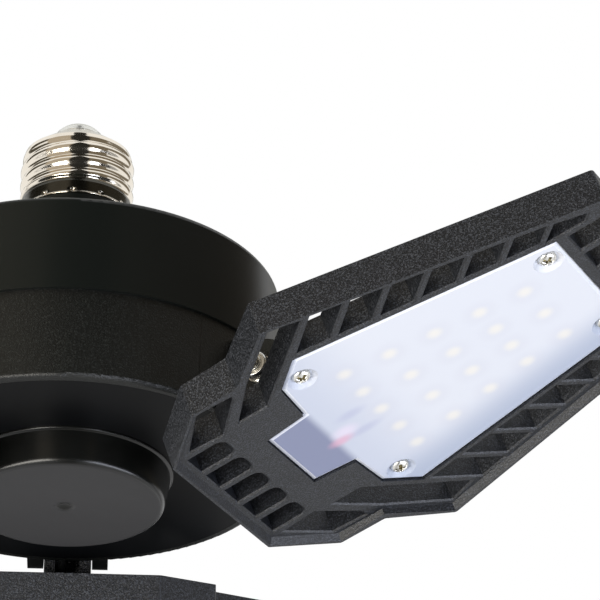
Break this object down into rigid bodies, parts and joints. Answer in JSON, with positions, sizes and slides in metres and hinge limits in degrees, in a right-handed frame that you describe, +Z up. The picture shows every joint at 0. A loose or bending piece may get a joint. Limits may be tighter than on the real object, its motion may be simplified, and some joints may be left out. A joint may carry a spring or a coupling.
{
  "type": "deformable garage light",
  "caption": "Screw-in ceiling light with a drum hub and lattice-framed LED wings that tilt up and down on hinges round it.",
  "frame": {"origin": "on the lamp axis, in the plane of the lower rim of the screw shell", "axes": "+Z up along the lamp axis, from the hub to the screw base; the rear wing lies towards +Y, the right wing 30 degrees from +X towards -Y"},
  "size_m": [0.274, 0.2382, 0.1078],
  "materials": {
    "nickel_shell": "bright rolled nickel plate",
    "black_insulator": "gloss",
    "contact_metal": "dull",
    "lead_sheath": "flexible sheath",
    "satin_black": "satin",
    "textured_black": "fine texture",
    "smooth_black": "smooth satin",
    "cap_grey": "flat",
    "screw_steel": "nickel plate",
    "board_green": "lacquered board",
    "bobbin_tape": "tape",
    "can_aluminium": "sleeve",
    "cast_black": "fine-grained powder coat",
    "frosted_white": "frosted",
    "board_white": "white solder mask",
    "led_cream": "phosphor"
  },
  "bodies": {
    "hub": {"screw_shell": "nickel_shell", "base_insulator": "black_insulator", "base_contact": "contact_metal", "base_leads": "lead_sheath", "upper_shell": "satin_black", "hinge_ring": "textured_black", "bottom_cover": "smooth_black", "centre_cap": "cap_grey", "cover_screws": "screw_steel", "driver_board": "board_green", "board_screws": "screw_steel", "driver_transformer": "bobbin_tape", "driver_capacitors": "can_aluminium", "hinge_bolt_right": "screw_steel", "hinge_washers_right": "screw_steel", "hinge_nut_right": "screw_steel", "hinge_bolt_rear": "screw_steel", "hinge_washers_rear": "screw_steel", "hinge_nut_rear": "screw_steel", "hinge_bolt_left": "screw_steel", "hinge_washers_left": "screw_steel", "hinge_nut_left": "screw_steel"},
    "wing_right": {"wing_frame_right": "cast_black", "lens_right": "frosted_white", "lens_screws_right": "screw_steel", "led_board_right": "board_white", "leds_right": "led_cream", "wing_lead_right": "lead_sheath"},
    "wing_rear": {"wing_frame_rear": "cast_black", "lens_rear": "frosted_white", "lens_screws_rear": "screw_steel", "led_board_rear": "board_white", "leds_rear": "led_cream", "wing_lead_rear": "lead_sheath"},
    "wing_left": {"wing_frame_left": "cast_black", "lens_left": "frosted_white", "lens_screws_left": "screw_steel", "led_board_left": "board_white", "leds_left": "led_cream", "wing_lead_left": "lead_sheath"}
  },
  "joints": [
    {"name": "right_wing_tilt", "type": "hinge", "parent": "hub", "child": "wing_right", "pos_m": [0.04677, -0.027, -0.0561], "axis": [-0.5, -0.866, 0], "range_deg": [-24.75, 70.25]},
    {"name": "rear_wing_tilt", "type": "hinge", "parent": "hub", "child": "wing_rear", "pos_m": [0, 0.054, -0.0561], "axis": [1, 0, 0], "range_deg": [-20.5, 74.5]},
    {"name": "left_wing_tilt", "type": "hinge", "parent": "hub", "child": "wing_left", "pos_m": [-0.04677, -0.027, -0.0561], "axis": [-0.5, 0.866, 0], "range_deg": [-24.75, 70.25]}
  ]
}
